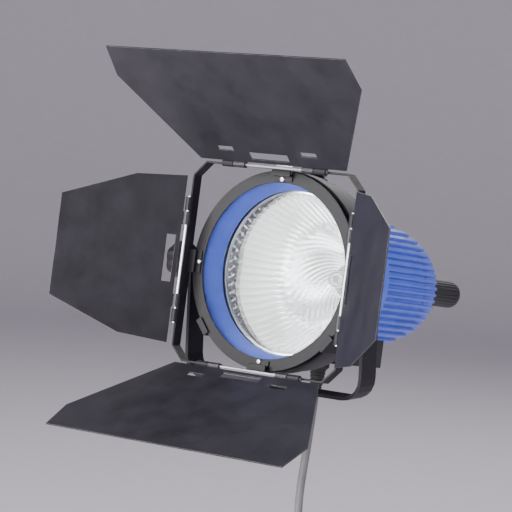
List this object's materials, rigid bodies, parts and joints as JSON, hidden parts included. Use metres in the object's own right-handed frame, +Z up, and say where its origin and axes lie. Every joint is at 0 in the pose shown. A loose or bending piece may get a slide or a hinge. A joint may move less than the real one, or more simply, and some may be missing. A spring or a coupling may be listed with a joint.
{
  "type": "open-face location spotlight with barn doors",
  "caption": "Location spotlight head with a faceted reflector, finned round body, four-leaf barn doors, tilting yoke with a stand socket, and a mains lead.",
  "frame": {"origin": "centre of the mouth of the stand socket, where a 16 mm spigot enters", "axes": "+Z up along the stand, -Y the way the light goes when level, +X the lamp's left"},
  "size_m": [0.3413, 0.437, 0.5954],
  "materials": {
    "black_paint": "satin black stove enamel",
    "leaf_black": "matt black heatproof paint",
    "blue_paint": "semi-gloss blue enamel",
    "black_plastic": "moulded, fine texture",
    "rubber": "matt",
    "steel": "zinc-plated, lightly worn",
    "mirror_metal": "bright faceted aluminium",
    "ceramic": "unglazed steatite",
    "clear_glass": "clear, heat-resistant",
    "tungsten": "dull grey wire"
  },
  "bodies": {
    "yoke": {"yoke": "black_paint", "stand_socket": "black_paint", "socket_bolt": "steel", "friction_washer_left": "black_plastic", "friction_washer_right": "black_plastic", "mains_cord": "rubber", "cord_tail": "rubber", "cord_coil": "rubber", "coil_tie": "black_plastic", "plug_body": "black_plastic", "plug_pin_front": "steel", "plug_pin_rear": "steel"},
    "socket_clamp": {"socket_clamp_screw": "steel"},
    "lock_knob": {"tilt_lock_knob": "black_plastic"},
    "head": {"front_housing": "black_paint", "neck_screw_1": "steel", "neck_screw_2": "steel", "neck_screw_3": "steel", "neck_screw_4": "steel", "front_bezel": "blue_paint", "safety_glass": "clear_glass", "glass_retaining_ring": "steel", "reflector": "mirror_metal", "rear_housing": "blue_paint", "wiring_box": "black_plastic", "cable_gland": "rubber", "pivot_bolt_left": "steel", "pivot_stud_right": "steel", "accessory_claw_left": "black_paint", "accessory_claw_right": "black_paint", "latch_bracket": "black_paint", "latch_pin": "steel", "chassis_plate": "steel", "guide_rod_left": "steel", "guide_rod_right": "steel"},
    "latch": {"latch_clip": "steel"},
    "carriage": {"lamp_carriage": "steel", "lamp_holder": "ceramic", "lamp_base": "ceramic", "lamp_envelope": "clear_glass", "lamp_filament": "tungsten"},
    "focus_drive": {"focus_knob": "black_plastic", "focus_spindle": "steel"},
    "barndoor": {"barndoor_ring": "black_paint", "barndoor_frame": "black_paint", "ring_screw_top": "steel", "hinge_rod_top": "steel", "ring_screw_left": "steel", "hinge_rod_left": "steel", "ring_screw_bottom": "steel", "hinge_rod_bottom": "steel", "ring_screw_right": "steel", "hinge_rod_right": "steel"},
    "top_leaf": {"top_leaf": "leaf_black"},
    "bottom_leaf": {"bottom_leaf": "leaf_black"},
    "left_leaf": {"left_leaf": "leaf_black"},
    "right_leaf": {"right_leaf": "leaf_black"}
  },
  "joints": [
    {"name": "head_tilt", "type": "hinge", "parent": "yoke", "child": "head", "pos_m": [0, 0, 0.1513], "axis": [-1, 0, 0], "range_deg": [-22, 25], "deforming": ["mains_cord"]},
    {"name": "tilt_lock_turn", "type": "hinge", "parent": "yoke", "child": "lock_knob", "pos_m": [0, 0, 0.1513], "axis": [-1, 0, 0], "range_deg": [0, 360]},
    {"name": "socket_clamp_turn", "type": "hinge", "parent": "yoke", "child": "socket_clamp", "pos_m": [0, 0, 0.02], "axis": [1, 0, 0], "range_deg": [0, 360]},
    {"name": "latch_lift", "type": "hinge", "parent": "head", "child": "latch", "pos_m": [0, 0.04633, 0.23668], "axis": [-1, 0, 0], "range_deg": [0, 30], "stiffness_Nm_per_rad": 0.35, "springref_deg": -17.19},
    {"name": "focus_turn", "type": "hinge", "parent": "head", "child": "focus_drive", "pos_m": [0, 0, 0.1513], "axis": [0, 0.9903, -0.1392], "range_deg": [-120, 180]},
    {"name": "lamp_focus", "type": "slide", "parent": "head", "child": "carriage", "axis": [0, -0.9903, 0.1392], "range_m": [-0.0092, 0.0138]},
    {"name": "barndoor_turn", "type": "hinge", "parent": "head", "child": "barndoor", "pos_m": [0, 0, 0.1513], "axis": [0, -0.9903, 0.1392], "continuous": true},
    {"name": "top_leaf_hinge", "type": "hinge", "parent": "barndoor", "child": "top_leaf", "pos_m": [0, -0.01867, 0.24405], "axis": [-1, 0, 0], "range_deg": [-100.5, 72.5]},
    {"name": "bottom_leaf_hinge", "type": "hinge", "parent": "barndoor", "child": "bottom_leaf", "pos_m": [0, -0.04352, 0.06729], "axis": [1, 0, 0], "range_deg": [-71.5, 73.5]},
    {"name": "left_leaf_hinge", "type": "hinge", "parent": "barndoor", "child": "left_leaf", "pos_m": [0.08925, -0.03109, 0.15567], "axis": [0, 0.1392, 0.9903], "range_deg": [-138.5, 49.5]},
    {"name": "right_leaf_hinge", "type": "hinge", "parent": "barndoor", "child": "right_leaf", "pos_m": [-0.08925, -0.03109, 0.15567], "axis": [0, -0.1392, -0.9903], "range_deg": [-120.5, 59.5]}
  ],
  "couplings": [
    {"joint": "focus_turn", "follows": "lamp_focus", "rad_per_m": 227.27}
  ]
}
